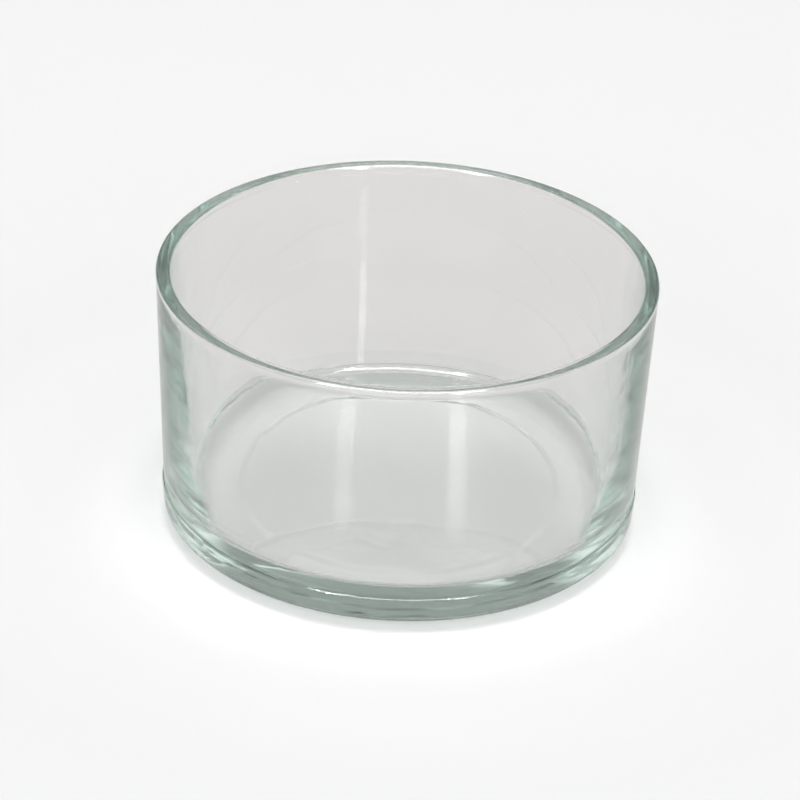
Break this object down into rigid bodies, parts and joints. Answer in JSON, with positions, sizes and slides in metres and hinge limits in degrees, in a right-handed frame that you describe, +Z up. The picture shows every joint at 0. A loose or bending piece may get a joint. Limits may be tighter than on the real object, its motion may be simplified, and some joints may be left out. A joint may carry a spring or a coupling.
{
  "type": "floating candle bowl",
  "caption": "Short round open bowl of clear pressed glass, with nearly straight sides, a rounded rim and a thick base, that holds water and floating candles.",
  "frame": {"origin": "middle of the ring that the bowl rests on, at the bottom of its axis", "axes": "+Z up along the bowl's axis of symmetry; X and Y are alike, because the bowl is round"},
  "size_m": [0.127, 0.127, 0.069],
  "materials": {
    "clear_glass": "fire-polished clear pressed glass, faint green where it is thick"
  },
  "bodies": {
    "root": {"glass_bowl": "clear_glass"}
  },
  "joints": []
}
